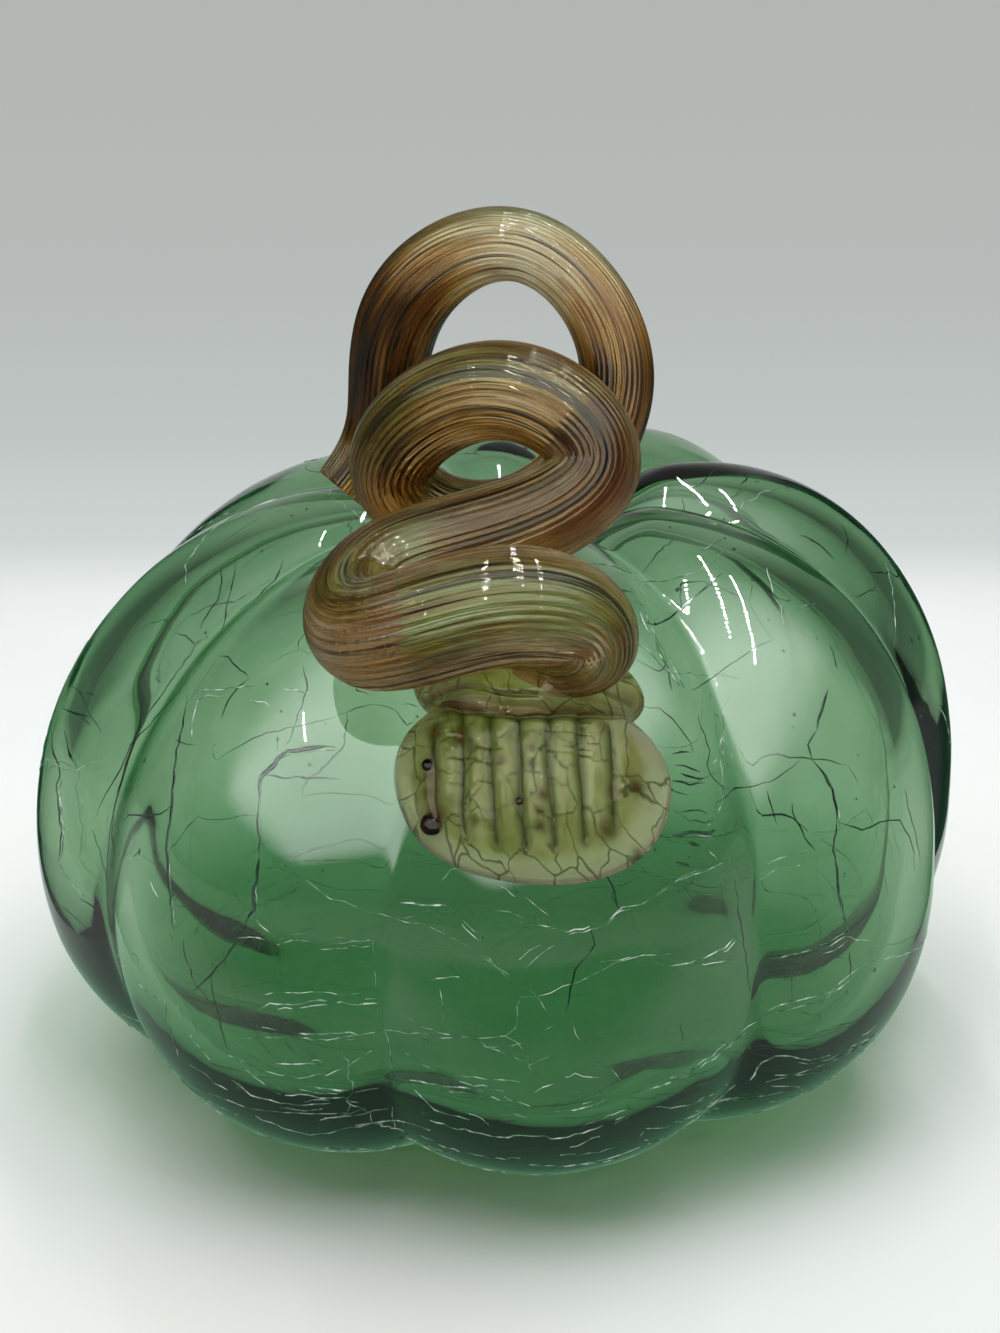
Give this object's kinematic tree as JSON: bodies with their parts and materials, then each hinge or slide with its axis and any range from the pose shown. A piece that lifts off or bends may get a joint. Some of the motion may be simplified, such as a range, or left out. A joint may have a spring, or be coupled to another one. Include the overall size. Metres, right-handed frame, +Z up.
{
  "type": "glass pumpkin",
  "caption": "Blown glass pumpkin ornament with a lobed green crackle body and a curled amber stem looping up from a pad pressed onto the front shoulder.",
  "frame": {"origin": "bottom centre of the object's box, on the plane that the foot stands on", "axes": "+Z up, -Y towards the side that carries the stem pad, +X to the right seen from that side"},
  "size_m": [0.151, 0.149, 0.146],
  "materials": {
    "green_crackle_glass": "clear sea-green blown glass, polished, with a crackle of fine healed cracks",
    "pale_olive_glass": "pale olive ribbed glass with brown stains and seed bubbles",
    "amber_fluted_glass": "smoky amber glass drawn into fine flutes with rust-brown and dark streaks"
  },
  "bodies": {
    "root": {"body_shell": "green_crackle_glass", "stem_pad": "pale_olive_glass", "stem_curl": "amber_fluted_glass"}
  },
  "joints": []
}
